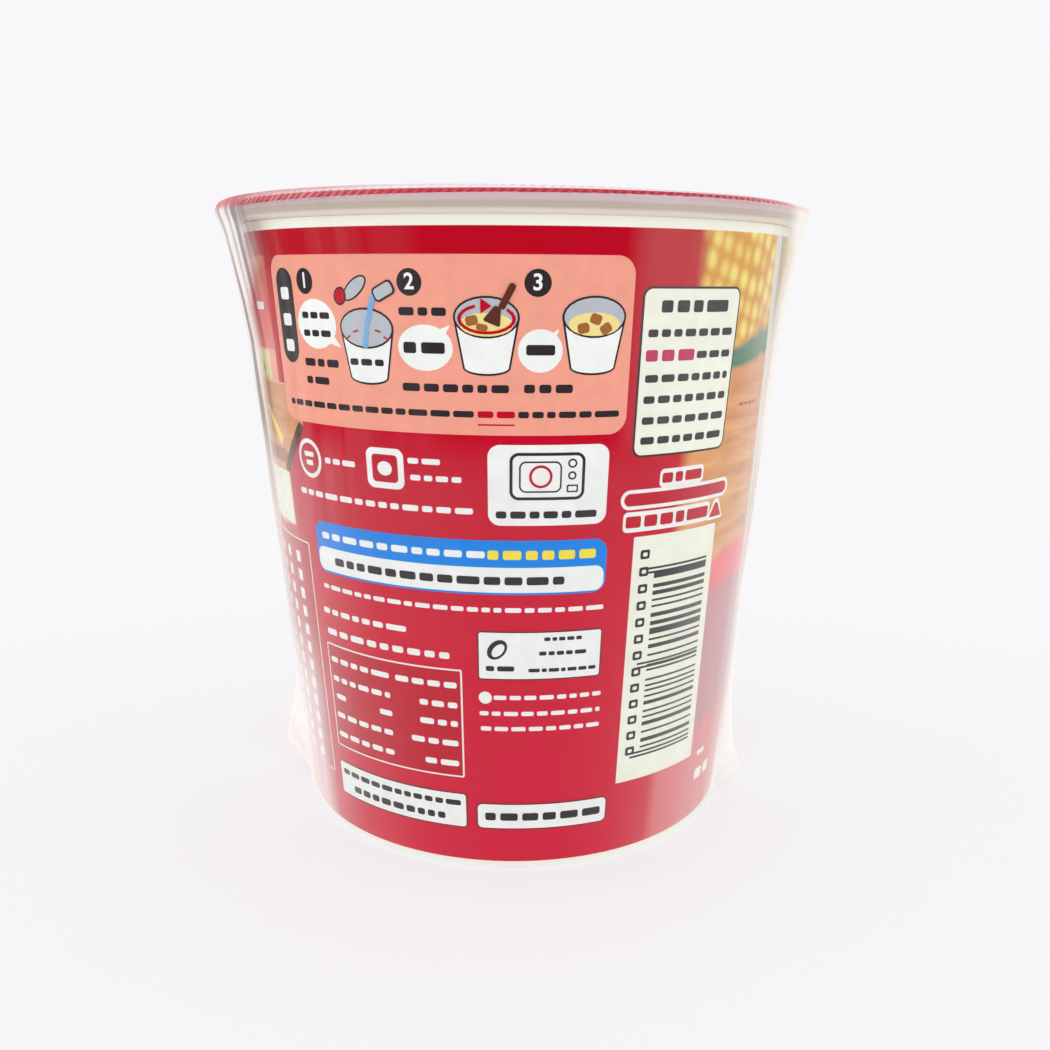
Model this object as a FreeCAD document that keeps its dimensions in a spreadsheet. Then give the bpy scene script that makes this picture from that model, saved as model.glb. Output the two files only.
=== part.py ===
import FreeCAD
import Part
import Sketcher
import math
import os

# An instant soup cup in its clear shrink film, shut and full, standing on its foot.
# Millimetres, +Z up. The origin is the centre of the film's flat underside.
# The side with the preparation steps faces -Y and the cup's front faces +Y. The film is a tube
# sealed flat at both ends, so its four gathered corners lie on the X axis.

SIZES = {
    # the paper cup and its rolled rim
    "rim_diameter": 86.0,
    "rim_top_height": 92.1,
    "rim_roll_diameter": 2.6,
    "base_recess_height": 5.2,
    "skirt_height": 0.7,
    "skirt_paper": 1.2,
    # the printed outer sleeve, a tapered tube
    "wall_foot_diameter": 67.7,
    "rim_overhang": 1.79,
    "sleeve_paper": 0.45,
    "sleeve_hem_radius": 0.35,
    # the peel-off lid, smaller than the rim all round and laid on a little towards -X
    "lid_paper": 0.3,
    "lid_set_back": 0.55,
    "lid_offset": 0.45,
    # the shrink film, which bridges from the rim down to the wall
    "film_wall": 0.2,
    "film_bridge_height": 16.5,
    "film_foot_radius": 1.2,
    # the film's gathered corners: how far they stand out from foot or rim, and their heights
    "ear_half_width": 7.0,
    "foot_ear_left_out": 4.55,
    "foot_ear_left_tip": 7.3,
    "foot_ear_left_top": 30.0,
    "foot_ear_right_out": 3.95,
    "foot_ear_right_tip": 3.3,
    "foot_ear_right_top": 45.0,
    "foot_ear_low": 0.3,
    "rim_ear_left_out": 1.5,
    "rim_ear_right_out": 1.0,
    "rim_ear_drop": 1.7,
    "rim_ear_length": 11.0,
}

# An ear narrows in two steps: the waist's place and size as shares of the ear, and the tip's size.
WAIST_PLACE = 0.6
WAIST_RISE = 0.25
WAIST_DROP = 0.45
WAIST_WIDTH = 0.4
TIP_SIZE = 0.04

doc = FreeCAD.newDocument("soup_cup")
sheet = doc.addObject("Spreadsheet::Sheet", "Sizes")
for row, (word, value) in enumerate(SIZES.items(), start=1):
    sheet.set(f"A{row}", word)
    sheet.set(f"B{row}", str(value))
    sheet.setAlias(f"B{row}", word)
doc.recompute()

# Expressions that several pieces share: the wall is the sleeve's outside, and the roll is the rim's.
FOOT = "Sizes.wall_foot_diameter / 2"
RIM = "Sizes.rim_diameter / 2"
ROLL = "Sizes.rim_roll_diameter / 2"
ROLL_RADIUS = f"{RIM} - {ROLL}"
ROLL_HEIGHT = f"Sizes.rim_top_height - {ROLL}"
SLEEVE_TOP = "Sizes.rim_top_height - Sizes.rim_roll_diameter"
WALL_TOP = f"{RIM} - Sizes.rim_overhang"
SLOPE = f"({WALL_TOP} - {FOOT}) / ({SLEEVE_TOP})"
FILM_TOUCH = f"{SLEEVE_TOP} - Sizes.film_bridge_height"


def wall_radius(height):
    return f"{FOOT} + {SLOPE} * ({height})"


class Outline:
    """A closed outline in a body's XZ plane. It is drawn near its place, then held by bound sizes."""

    def __init__(self, body, name, corners, arcs, smooth):
        """corners are rough (x, z); arcs gives an edge's number its rough centre and turn, +1 or -1;
        smooth lists the edges that run tangentially into the next one."""
        self.sketch = body.newObject("Sketcher::SketchObject", name)
        self.sketch.AttachmentSupport = [(origin_plane(body, "XZ_Plane"), "")]
        self.sketch.MapMode = "FlatFace"
        self.turns = {edge: turn for edge, (centre, turn) in arcs.items()}
        self.count = len(corners)
        for edge, start in enumerate(corners):
            end = corners[(edge + 1) % self.count]
            if edge in arcs:
                self.sketch.addGeometry(rough_arc(start, end, *arcs[edge]), False)
            else:
                self.sketch.addGeometry(rough_line(start, end), False)
        for edge in range(self.count):
            onward = (edge + 1) % self.count
            joint = "Tangent" if edge in smooth else "Coincident"
            self.hold(joint, edge, self.end(edge), onward, self.start(onward))

    def start(self, edge):
        return 2 if self.turns.get(edge) == -1 else 1

    def end(self, edge):
        return 1 if self.turns.get(edge) == -1 else 2

    def hold(self, *terms):
        return self.sketch.addConstraint(Sketcher.Constraint(*terms))

    def bind(self, expression, *terms):
        bind_constraint(self.sketch, expression, *terms)

    def place(self, corner, across=None, up=None):
        """Binds a corner's distance from the axis, its height, or both."""
        point = (corner, self.start(corner))
        if across is not None:
            self.bind(across, "DistanceX", -1, 1, *point)
        if up is not None:
            self.bind(up, "DistanceY", -1, 1, *point)

    def on_axis(self, *corners):
        for corner in corners:
            self.hold("PointOnObject", corner, self.start(corner), -2)

    def level(self, *edges):
        for edge in edges:
            self.hold("Horizontal", edge)

    def centre(self, edge, across, up, radius):
        self.bind(across, "DistanceX", -1, 1, edge, 3)
        self.bind(up, "DistanceY", -1, 1, edge, 3)
        self.bind(radius, "Radius", edge)

    def guide(self, foot, head, *corners):
        """Keeps corners on the straight line through two points given as bound expressions."""
        ends = [[worked_out(value) for value in point] for point in (foot, head)]
        line = self.sketch.addGeometry(rough_line(*ends), True)
        for position, (across, up) in enumerate((foot, head), start=1):
            self.bind(across, "DistanceX", -1, 1, line, position)
            if up == "0":
                self.hold("PointOnObject", line, position, -1)
            else:
                self.bind(up, "DistanceY", -1, 1, line, position)
        for corner in corners:
            self.hold("PointOnObject", corner, self.start(corner), line)


def worked_out(expression):
    """What a bound expression comes to with the present sizes."""
    return float(sheet.evalExpression(expression))


def bind_constraint(sketch, expression, *terms):
    """Adds a dimension at its right value, so that the sketch never moves far, and binds it."""
    index = sketch.addConstraint(Sketcher.Constraint(*terms, worked_out(expression)))
    sketch.setExpression(f"Constraints[{index}]", expression)


def origin_plane(body, role):
    return next(feature for feature in body.Origin.OriginFeatures if feature.Role == role)


def rough_line(start, end):
    return Part.LineSegment(FreeCAD.Vector(*start, 0), FreeCAD.Vector(*end, 0))


def rough_arc(start, end, centre, turn):
    first, last = (start, end) if turn == 1 else (end, start)
    angles = [math.atan2(point[1] - centre[1], point[0] - centre[0]) for point in (first, last)]
    if angles[1] < angles[0]:
        angles[1] += 2 * math.pi
    circle = Part.Circle(FreeCAD.Vector(*centre, 0), FreeCAD.Vector(0, 0, 1), math.dist(start, centre))
    return Part.ArcOfCircle(circle, *angles)


def turned(body, outline, kind, name):
    """Spins an outline about Z, as a PartDesign Revolution or Groove."""
    feature = body.newObject(f"PartDesign::{kind}", name)
    feature.Profile = outline.sketch
    feature.ReferenceAxis = (outline.sketch, ["V_Axis"])
    feature.Angle = 360
    doc.recompute()
    return feature


def new_body(label):
    body = doc.addObject("PartDesign::Body", label)
    body.Label = label
    return body


def size(word):
    return float(sheet.get(word))


# Rough places for the outlines, near enough for the bound sizes to settle them.
foot_across = worked_out(FOOT)
top_across = worked_out(WALL_TOP)
roll = worked_out(ROLL)
roll_across = worked_out(ROLL_RADIUS)
top_up = size("rim_top_height")
roll_up = worked_out(ROLL_HEIGHT)


def make_cup():
    """The paper cup with its soup, a solid: recessed base, folded skirt, tapered wall and rolled rim."""
    body = new_body("cup")
    inside = foot_across - size("sleeve_paper")
    skirt_inside = inside - size("skirt_paper")
    corners = [
        (0, size("base_recess_height")),
        (skirt_inside, size("base_recess_height")),
        (skirt_inside, size("skirt_height")),
        (inside, size("skirt_height")),
        (roll_across - 0.7 * roll, roll_up - 0.7 * roll),
        (roll_across, top_up),
        (0, top_up),
    ]
    outline = Outline(body, "cup_outline", corners, {4: ((roll_across, roll_up), 1)}, smooth=[])
    skirt_radius = f"{wall_radius('Sizes.skirt_height')} - Sizes.sleeve_paper"
    outline.on_axis(0, 6)
    outline.level(0, 5)
    outline.place(1, f"{skirt_radius} - Sizes.skirt_paper", "Sizes.base_recess_height")
    outline.place(2, f"{skirt_radius} - Sizes.skirt_paper", "Sizes.skirt_height")
    outline.place(3, skirt_radius, "Sizes.skirt_height")
    outline.guide(
        (f"{FOOT} - Sizes.sleeve_paper", "0"),
        (f"{WALL_TOP} - Sizes.sleeve_paper", SLEEVE_TOP),
        4,
    )
    outline.centre(4, ROLL_RADIUS, ROLL_HEIGHT, ROLL)
    outline.place(5, ROLL_RADIUS)
    turned(body, outline, "Revolution", "cup_turned")
    return body


def make_sleeve():
    """The printed paper sleeve round the cup, with its lower edge rounded, from the film to the roll."""
    body = new_body("sleeve")
    paper = size("sleeve_paper")
    hem = size("sleeve_hem_radius")
    low = size("film_wall")
    high = top_up - 2 * roll
    corners = [
        (foot_across - paper, low),
        (foot_across - hem, low),
        (foot_across, low + hem),
        (top_across, high),
        (top_across - paper, high),
    ]
    arcs = {1: ((foot_across - hem, low + hem), 1)}
    outline = Outline(body, "sleeve_outline", corners, arcs, smooth=[0, 1])
    outline.level(0, 3)
    outline.place(0, f"{wall_radius('Sizes.film_wall')} - Sizes.sleeve_paper", "Sizes.film_wall")
    outline.place(3, WALL_TOP, SLEEVE_TOP)
    outline.place(4, f"{WALL_TOP} - Sizes.sleeve_paper")
    outline.guide((FOOT, "0"), (WALL_TOP, SLEEVE_TOP), 2)
    outline.bind("Sizes.sleeve_hem_radius", "Radius", 1)
    turned(body, outline, "Revolution", "sleeve_turned")
    return body


def make_lid():
    """The lid: a disc pressed down over the roll, cut to a circle that sits a little off centre."""
    blank = new_body("lid_blank")
    paper = size("lid_paper")
    corners = [
        (0, top_up),
        (roll_across, top_up),
        (roll_across + roll, roll_up),
        (roll_across + roll + paper, roll_up),
        (roll_across, top_up + paper),
        (0, top_up + paper),
    ]
    centre = (roll_across, roll_up)
    outline = Outline(blank, "lid_outline", corners, {1: (centre, -1), 3: (centre, 1)}, smooth=[0, 3])
    outline.on_axis(0, 5)
    outline.level(0, 2, 4)
    outline.centre(1, ROLL_RADIUS, ROLL_HEIGHT, ROLL)
    outline.hold("Coincident", 1, 3, 3, 3)
    outline.bind(f"{ROLL} + Sizes.lid_paper", "Radius", 3)
    outline.place(2, up=ROLL_HEIGHT)
    turned(blank, outline, "Revolution", "lid_turned")

    die = doc.addObject("Part::Cylinder", "lid_die")
    die.setExpression("Radius", f"{RIM} - Sizes.lid_set_back")
    die.setExpression("Height", f"2 * ({ROLL} + Sizes.lid_paper)")
    die.setExpression("Placement.Base.x", "-Sizes.lid_offset")
    die.setExpression("Placement.Base.z", ROLL_HEIGHT)

    lid = doc.addObject("Part::Common", "lid")
    lid.Label = "lid"
    lid.Base = blank
    lid.Tool = die
    return lid


def film_outline(body, name, layer, low, foot_radius):
    """The film's inside, or its outside with layer as the text of the wall to add, as a closed bag."""
    touch = f"{wall_radius(FILM_TOUCH)}{layer}"
    shoulder = f"{ROLL} + Sizes.lid_paper{layer}"
    rough_low = worked_out(low)
    corner = worked_out(foot_radius)
    corner_across = worked_out(f"{FOOT}{layer}") - corner
    rough_shoulder = worked_out(shoulder)
    corners = [
        (0, rough_low),
        (corner_across, rough_low),
        (corner_across + corner, rough_low + corner),
        (worked_out(touch), worked_out(FILM_TOUCH)),
        (roll_across + rough_shoulder, roll_up),
        (roll_across, roll_up + rough_shoulder),
        (0, roll_up + rough_shoulder),
    ]
    arcs = {1: ((corner_across, rough_low + corner), 1), 4: ((roll_across, roll_up), 1)}
    outline = Outline(body, name, corners, arcs, smooth=[0, 1, 3, 4])
    outline.on_axis(0, 6)
    outline.level(0, 5)
    if low == "0":
        outline.hold("PointOnObject", 0, 1, -1)
    else:
        outline.place(0, up=low)
    outline.guide((f"{FOOT}{layer}", "0"), (touch, FILM_TOUCH), 2)
    outline.place(3, touch, FILM_TOUCH)
    outline.bind(foot_radius, "Radius", 1)
    outline.centre(4, ROLL_RADIUS, ROLL_HEIGHT, shoulder)
    return outline


def ear_section(body, name, across, tip, top, low, half_width, share_up, share_down, share_wide):
    """One kite-shaped section of an ear, upright and square to X, held by bound sizes."""
    sketch = body.newObject("Sketcher::SketchObject", name)
    sketch.AttachmentSupport = [(origin_plane(body, "YZ_Plane"), "")]
    sketch.MapMode = "FlatFace"
    sketch.setExpression("AttachmentOffset.Base.z", across)
    highest = f"{tip} + (({top}) - ({tip})) * {share_up}"
    lowest = f"{tip} - (({tip}) - ({low})) * {share_down}"
    sides = f"{half_width} * {share_wide}"
    wide, high, middle, deep = (worked_out(value) for value in (sides, highest, tip, lowest))
    corners = [(0, high), (-wide, middle), (0, deep), (wide, middle)]
    for edge, start in enumerate(corners):
        sketch.addGeometry(rough_line(start, corners[(edge + 1) % 4]), False)
    for edge in range(4):
        sketch.addConstraint(Sketcher.Constraint("Coincident", edge, 2, (edge + 1) % 4, 1))
    for corner in (0, 2):
        sketch.addConstraint(Sketcher.Constraint("PointOnObject", corner, 1, -2))
    for corner, height in enumerate((highest, tip, lowest, tip)):
        bind_constraint(sketch, height, "DistanceY", -1, 1, corner, 1)
    bind_constraint(sketch, sides, "DistanceX", 1, 1, -1, 1)
    bind_constraint(sketch, sides, "DistanceX", -1, 1, 3, 1)
    return sketch


def add_ear(body, name, side, root, reach, tip, top, low):
    """A gathered corner of the film: a flat pointed ear lofted through root, waist and tip."""
    waist = f"{root} + (({reach}) - ({root})) * {WAIST_PLACE}"
    width = "Sizes.ear_half_width"
    stages = [
        ("root", root, 1, 1, 1),
        ("waist", waist, WAIST_RISE, WAIST_DROP, WAIST_WIDTH),
        ("tip", reach, TIP_SIZE, TIP_SIZE, TIP_SIZE),
    ]
    sections = []
    for stage, place, up, down, wide in stages:
        across = f"{side} * ({place})"
        sections.append(ear_section(body, f"{name}_{stage}", across, tip, top, low, width, up, down, wide))
    doc.recompute()
    loft = body.newObject("PartDesign::AdditiveLoft", name)
    loft.Profile = sections[0]
    loft.Sections = sections[1:]
    loft.Ruled = True
    doc.recompute()


def make_film():
    """The shrink film: a closed bag, its four corners gathered into ears, hollow for cup and lid."""
    body = new_body("film")
    outside = film_outline(body, "film_outside", " + Sizes.film_wall", "0", "Sizes.film_foot_radius")
    turned(body, outside, "Revolution", "film_solid")
    rim_tip = "Sizes.rim_top_height - Sizes.rim_ear_drop + Sizes.lid_paper"
    rim_top = "Sizes.rim_top_height + Sizes.lid_paper"
    rim_low = f"{rim_top} - Sizes.rim_ear_length"
    for side, word in ((-1, "left"), (1, "right")):
        reach = f"{FOOT} + Sizes.foot_ear_{word}_out"
        tip, top = (f"Sizes.foot_ear_{word}_{part}" for part in ("tip", "top"))
        add_ear(body, f"foot_ear_{word}", side, FOOT, reach, tip, top, "Sizes.foot_ear_low")
        reach = f"{RIM} + Sizes.rim_ear_{word}_out"
        add_ear(body, f"rim_ear_{word}", side, ROLL_RADIUS, reach, rim_tip, rim_top, rim_low)
    foot_radius = "Sizes.film_foot_radius - Sizes.film_wall"
    inside = film_outline(body, "film_inside", "", "Sizes.film_wall", foot_radius)
    turned(body, inside, "Groove", "film_hollow")
    return body


def check_and_write(pieces):
    doc.recompute()
    for thing in doc.Objects:
        if "Invalid" in thing.State or "Error" in thing.State:
            raise RuntimeError(f"{thing.Name} failed: {thing.State}")
    for piece in pieces:
        if piece.Shape.isNull() or not piece.Shape.isValid() or len(piece.Shape.Solids) != 1:
            raise RuntimeError(f"{piece.Label} isn't one valid solid")
    os.makedirs("parts", exist_ok=True)
    for piece in pieces:
        piece.Shape.exportStep(f"parts/{piece.Label}.step")
        box = piece.Shape.BoundBox
        print(piece.Label, round(piece.Shape.Volume, 1), [round(v, 2) for v in (
            box.XMin, box.XMax, box.YMin, box.YMax, box.ZMin, box.ZMax)])


check_and_write([make_cup(), make_sleeve(), make_lid(), make_film()])
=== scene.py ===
"""The looks of an instant soup cup in clear shrink film: print, paper, lid and film, round the CAD frame.

Metres, +Z up, the origin under the middle of the foot. The side with the preparation steps faces -Y.
"""
import math
import random
from functools import partial

import bpy
from mathutils import Matrix, Vector, noise


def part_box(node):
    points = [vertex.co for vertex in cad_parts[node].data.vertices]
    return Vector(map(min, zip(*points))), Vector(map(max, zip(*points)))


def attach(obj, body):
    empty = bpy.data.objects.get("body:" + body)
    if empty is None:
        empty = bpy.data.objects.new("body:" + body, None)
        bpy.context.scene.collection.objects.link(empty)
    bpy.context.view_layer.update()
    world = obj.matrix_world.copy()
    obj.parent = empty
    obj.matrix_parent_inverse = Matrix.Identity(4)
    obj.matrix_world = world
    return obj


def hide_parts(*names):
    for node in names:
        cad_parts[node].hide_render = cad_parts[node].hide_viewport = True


MM = 0.001
FULL_TURN = 2 * math.pi

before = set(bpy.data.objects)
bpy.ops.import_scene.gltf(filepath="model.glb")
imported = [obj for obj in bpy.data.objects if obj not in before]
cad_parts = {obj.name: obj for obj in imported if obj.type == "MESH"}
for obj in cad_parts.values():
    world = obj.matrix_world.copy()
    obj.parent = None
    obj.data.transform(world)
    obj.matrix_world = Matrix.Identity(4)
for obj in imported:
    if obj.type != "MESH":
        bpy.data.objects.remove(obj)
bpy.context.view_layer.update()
bpy.ops.object.select_all(action="DESELECT")

# The sleeve's outer wall, a cone between the sizes that the CAD model was made to.
FOOT_RADIUS = 33.85
WALL_TOP_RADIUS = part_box("sleeve")[1].x / MM
WALL_TOP_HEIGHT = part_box("sleeve")[1].z / MM
WALL_SLOPE = (WALL_TOP_RADIUS - FOOT_RADIUS) / WALL_TOP_HEIGHT
LID_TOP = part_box("lid")[1].z / MM

# The flat print sheet is drawn at this radius before it is wrapped on the cone.
SHEET_RADIUS = 37.5
# Each layer of ink stands this far above the one below it, and all reach a little into the paper.
INK_STEP = 0.02
WRAP_STEP = 2


def wall_radius(height):
    return FOOT_RADIUS + WALL_SLOPE * height


def smooth(value, low, high):
    """0 at low, 1 at high, eased between; low may be the larger of the two."""
    share = min(1, max(0, (value - low) / (high - low)))
    return share * share * (3 - 2 * share)


def read_off(table, place):
    """A value from a table of (place, value) rows in rising order, straight between rows."""
    for (low, first), (high, second) in zip(table, table[1:]):
        if place <= high:
            return first + (second - first) * max(0, place - low) / (high - low)
    return table[-1][1]


# ---------------------------------------------------------------- materials

def colour(code):
    """Linear RGBA of an sRGB hex colour."""
    parts = [int(code[place:place + 2], 16) / 255 for place in (0, 2, 4)]
    return [part / 12.92 if part <= 0.04045 else ((part + 0.055) / 1.055) ** 2.4 for part in parts] + [1]


def add_node(tree, kind, feeds=None, **settings):
    """Adds a shader node with its settings, and fills or links its inputs; a fed node gives its first output.

    stops are a colour ramp's rows of (place, colour), where a colour is a hex code or a plain grey level.
    span is what a range runs from, low and high, and what it runs to; left out, it runs to 0 and 1."""
    node = tree.nodes.new("ShaderNode" + kind)
    for row, (spot, tone) in enumerate(settings.pop("stops", ())):
        elements = node.color_ramp.elements
        stop = elements[row] if row < len(elements) else elements.new(spot)
        stop.position = spot
        stop.color = colour(tone) if isinstance(tone, str) else (tone, tone, tone, 1)
    for end, value in zip(("From Min", "From Max", "To Min", "To Max"), settings.pop("span", ())):
        node.inputs[end].default_value = value
    for word, value in settings.items():
        setattr(node, word, value)
    for socket, value in (feeds or {}).items():
        if isinstance(value, bpy.types.Node):
            value = value.outputs[0]
        if isinstance(value, bpy.types.NodeSocket):
            tree.links.new(value, node.inputs[socket])
        else:
            node.inputs[socket].default_value = value
    return node


def new_material(name):
    """A bare material, and add_node bound to its nodes."""
    material = bpy.data.materials.new(name)
    material.use_nodes = True
    material.node_tree.nodes.clear()
    return material, partial(add_node, material.node_tree)


# Sockets of a colour Mix node, and of a plain number one.
MIX_SHARE, MIX_FIRST, MIX_SECOND, MIX_RESULT = 0, 6, 7, 2
NUMBER_FIRST, NUMBER_SECOND = 2, 3


def paper_grain(add, place, depth):
    """Board under print: fibres about 0.3 mm apart, drawn a little coarser so that they show."""
    fibres = add("TexNoise", {"Vector": place, "Scale": 2200, "Detail": 3})
    return add("Bump", {"Height": fibres, "Strength": depth, "Distance": 0.00005})


def offset_ink(name, code):
    """Offset ink on coated paper: an even colour with a faint mottle, and a soft sheen from varnish."""
    material, add = new_material(name)
    place = add("TexCoord").outputs["Object"]
    mottle = add("TexNoise", {"Vector": place, "Scale": 420, "Detail": 2})
    lift = add("MapRange", {"Value": mottle}, span=(0.3, 0.7, 0.96, 1.03))
    tone = add("HueSaturation", {"Value": lift, "Color": colour(code)})
    surface = add(
        "BsdfPrincipled",
        {"Base Color": tone, "Roughness": 0.5, "Specular IOR Level": 0.05, "Normal": paper_grain(add, place, 0.12)},
    )
    add("OutputMaterial", {"Surface": surface})
    return material


def cup_paper():
    """Coated cup board: ivory white, faintly warm and grained, with a low sheen from its plastic coat, and painted
    light and shade on its rolled edge.
    """
    material, add = new_material("coated_cup_board")
    place = add("TexCoord").outputs["Object"]
    axes = add("SeparateXYZ", {0: place})
    patches = add("TexNoise", {"Vector": place, "Scale": 60, "Detail": 4})
    # Painted light and shade on the rolled edge: a brownish grey painted shadow under the roll and a lavender grey
    # painted reflection of the film above it; its underside is painted palest against the shade that falls there, and
    # its top is pale as a painted highlight.
    level = add("MapRange", {"Value": axes.outputs[2]}, span=(89.4 * MM, 92.2 * MM, -0.04, 0.96))
    level = add("Math", {0: patches, 1: 0.08, 2: level}, operation="MULTIPLY_ADD")
    tone = add("ValToRGB", {"Fac": level}, stops=[
        (0.0, "F0ECE0"), (0.17, "E6DED0"), (0.3, "BFB1A2"), (0.5, "BCAD9E"), (0.58, "CBBBBD"), (0.8, "D0BFC4"),
        (0.88, "E2DADB"),
    ])
    surface = add(
        "BsdfPrincipled",
        {"Base Color": tone, "Roughness": 0.45, "Specular IOR Level": 0.2, "Normal": paper_grain(add, place, 0.2)},
    )
    add("OutputMaterial", {"Surface": surface})
    return material


def sleeve_print():
    """Printed sleeve paper: white margins, a red field painted lighter low down as painted light, and round the front
    soft bands of food colours.

    The angle is counted from +Y, the middle of the cup's front, so that its seam falls in the red."""
    material, add = new_material("printed_sleeve_paper")
    place = add("TexCoord").outputs["Object"]
    axes = add("SeparateXYZ", {0: place})
    aside = add("Math", {0: axes.outputs[0], 1: -1}, operation="MULTIPLY")
    angle = add("Math", {0: aside, 1: axes.outputs[1]}, operation="ARCTAN2")
    degrees = add("Math", {0: angle, 1: 180 / math.pi}, operation="MULTIPLY")
    height = add("Math", {0: axes.outputs[2], 1: 1 / MM}, operation="MULTIPLY")
    along = add("Math", {0: angle, 1: SHEET_RADIUS}, operation="MULTIPLY")
    sheet = add("CombineXYZ", {0: along, 1: height})

    # The edges between bands wander by a few millimetres, and climb away from the red field.
    drift = add("TexNoise", {"Vector": sheet, "Scale": 0.045, "Detail": 3})
    wander = add("Math", {0: drift, 1: -0.5}, operation="ADD")
    wander = add("Math", {0: wander, 1: 11, 2: height}, operation="MULTIPLY_ADD")
    climb = add("MapRange", {"Value": degrees}, span=(-133, -120, 0.9, -0.9))
    wander = add("Math", {0: wander, 1: climb}, operation="ADD")
    level = add("Math", {0: wander, 1: 90}, operation="DIVIDE")
    lower_rows = [
        (0.0, "DB6A6E"), (0.19, "DD7074"), (0.21, "C07C86"), (0.41, "C57E88"), (0.425, "EE6C74"),
        (0.475, "F07478"), (0.49, "E8B07C"), (0.6, "EDB16F"),
    ]
    bands = add("ValToRGB", {"Fac": level}, stops=lower_rows + [
        (0.74, "E6A56B"), (0.79, "DB9A6C"), (0.8, "4F8062"), (0.825, "5A8870"), (0.835, "D99A3E"), (1.0, "DBA044"),
    ])
    # On the other side of the front the picture has straight-edged fields: pale green, orange, then red.
    level = add("Math", {0: height, 1: 90}, operation="DIVIDE")
    fields = add("ValToRGB", {"Fac": level}, stops=lower_rows + [
        (0.752, "D69A6A"), (0.754, "E6DDA4"), (0.8, "EADFAE"), (0.804, "E27468"), (0.87, "D9484E"), (0.942, "E4764E"),
        (0.944, "C4062A"),
    ])
    beyond = add("MapRange", {"Value": degrees}, span=(62, 78))
    bands = add(
        "Mix", {MIX_SHARE: beyond, MIX_FIRST: bands, MIX_SECOND: fields}, data_type="RGBA"
    ).outputs[MIX_RESULT]

    # Wood grain streaks about 1.5 mm apart, running a little uphill, in the tan band.
    slant = add("Mapping", {"Vector": sheet, "Rotation": (0, 0, 0.35), "Scale": (0.09, 0.65, 1)})
    streaks = add("TexNoise", {"Vector": slant, "Scale": 1, "Detail": 5, "Distortion": 0.4})
    streaks = add("MapRange", {"Value": streaks}, span=(0.35, 0.7, 0, 0.75))
    over_wood = add("MapRange", {"Value": height}, span=(43, 47))
    under_corn = add("MapRange", {"Value": wander}, span=(68, 71, 1, 0))
    wood = over_wood
    for share in (under_corn, streaks):
        wood = add("Math", {0: wood, 1: share}, operation="MULTIPLY")
    grained = add(
        "Mix", {MIX_SHARE: wood, MIX_FIRST: bands, MIX_SECOND: colour("C27C4A")}, data_type="RGBA"
    ).outputs[MIX_RESULT]

    # Corn kernels about 2.3 by 3 mm in the yellow band: each is palest at its middle.
    kernels = add("Mapping", {"Vector": sheet, "Rotation": (0, 0, 0.25), "Scale": (0.43, 0.33, 1)})
    cells = add("TexVoronoi", {"Vector": kernels, "Scale": 1, "Randomness": 0.35}, feature="F1")
    kernel = add("MapRange", {"Value": cells}, span=(0.1, 0.66, 0.95, 0), interpolation_type="SMOOTHSTEP")
    corn = add("MapRange", {"Value": wander}, span=(74.5, 76))
    corn = add("Math", {0: corn, 1: kernel}, operation="MULTIPLY")
    this_side = add("Math", {0: 1, 1: beyond}, operation="SUBTRACT")
    corn = add("Math", {0: corn, 1: this_side}, operation="MULTIPLY")
    picture = add(
        "Mix", {MIX_SHARE: corn, MIX_FIRST: grained, MIX_SECOND: colour("F5E57E")}, data_type="RGBA"
    ).outputs[MIX_RESULT]

    # Down the right of the picture run a pale strip and then a tan one, partly the sleeve's overlap and partly a
    # painted reflection of the film along the outline.
    turned = add("Math", {0: height, 1: 0.196, 2: degrees}, operation="MULTIPLY_ADD")
    turned = add("MapRange", {"Value": turned}, span=(-102.75, -82.75))
    overlap_and_reflection = add("ValToRGB", {"Fac": turned}, stops=[(0.03, 0.0), (0.05, 1.0), (0.54, 1.0), (0.58, 0.0)])
    overlap_and_reflection_tones = add("ValToRGB", {"Fac": turned}, stops=[
        (0.0, "E4E3DB"), (0.22, "DCD9CE"), (0.25, "B9AC8A"), (0.42, "C2B48F"), (0.58, "D8CB9C"),
    ])
    picture = add(
        "Mix", {MIX_SHARE: overlap_and_reflection, MIX_FIRST: picture, MIX_SECOND: overlap_and_reflection_tones}, data_type="RGBA"
    ).outputs[MIX_RESULT]

    # The red field: it fades into the picture on one side, and ends at a firmer edge on the other.
    right_edge = add("MapRange", {"Value": degrees}, span=(-146.5, -142, 1, 0), interpolation_type="SMOOTHSTEP")
    # The wooden board reaches under the steps at the left, and ends there in a slanted edge.
    low_left = add("MapRange", {"Value": height}, span=(46, 47, 20, 0))
    board_foot = add("MapRange", {"Value": height}, span=(56, 62.6, 0, 8.9))
    board_top = add("MapRange", {"Value": height}, span=(67.6, 67.9, 1, 0))
    left_place = add("Math", {0: degrees, 1: low_left}, operation="ADD")
    board = add("Math", {0: board_foot, 1: board_top}, operation="MULTIPLY")
    left_place = add("Math", {0: left_place, 1: board}, operation="SUBTRACT")
    left_edge = add("MapRange", {"Value": left_place}, span=(122.6, 123.2))
    red_share = add("Math", {0: right_edge, 1: left_edge}, operation="MAXIMUM")
    # The red is painted lighter low down and darker towards the top, as painted light from below; the fine mottle is
    # the ink's own uneven tone.
    mottle = add("TexNoise", {"Vector": place, "Scale": 300, "Detail": 3})
    painted_light_and_mottle = add("Math", {0: mottle, 1: 0.12, 2: level}, operation="MULTIPLY_ADD")
    red = add("ValToRGB", {"Fac": painted_light_and_mottle}, stops=[
        (0.06, "D30C37"), (0.5, "CE0A30"), (0.68, "C9082C"), (0.85, "BD0422"), (1.0, "BD0421"),
    ])
    printed = add(
        "Mix", {MIX_SHARE: red_share, MIX_FIRST: picture, MIX_SECOND: red}, data_type="RGBA"
    ).outputs[MIX_RESULT]

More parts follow.
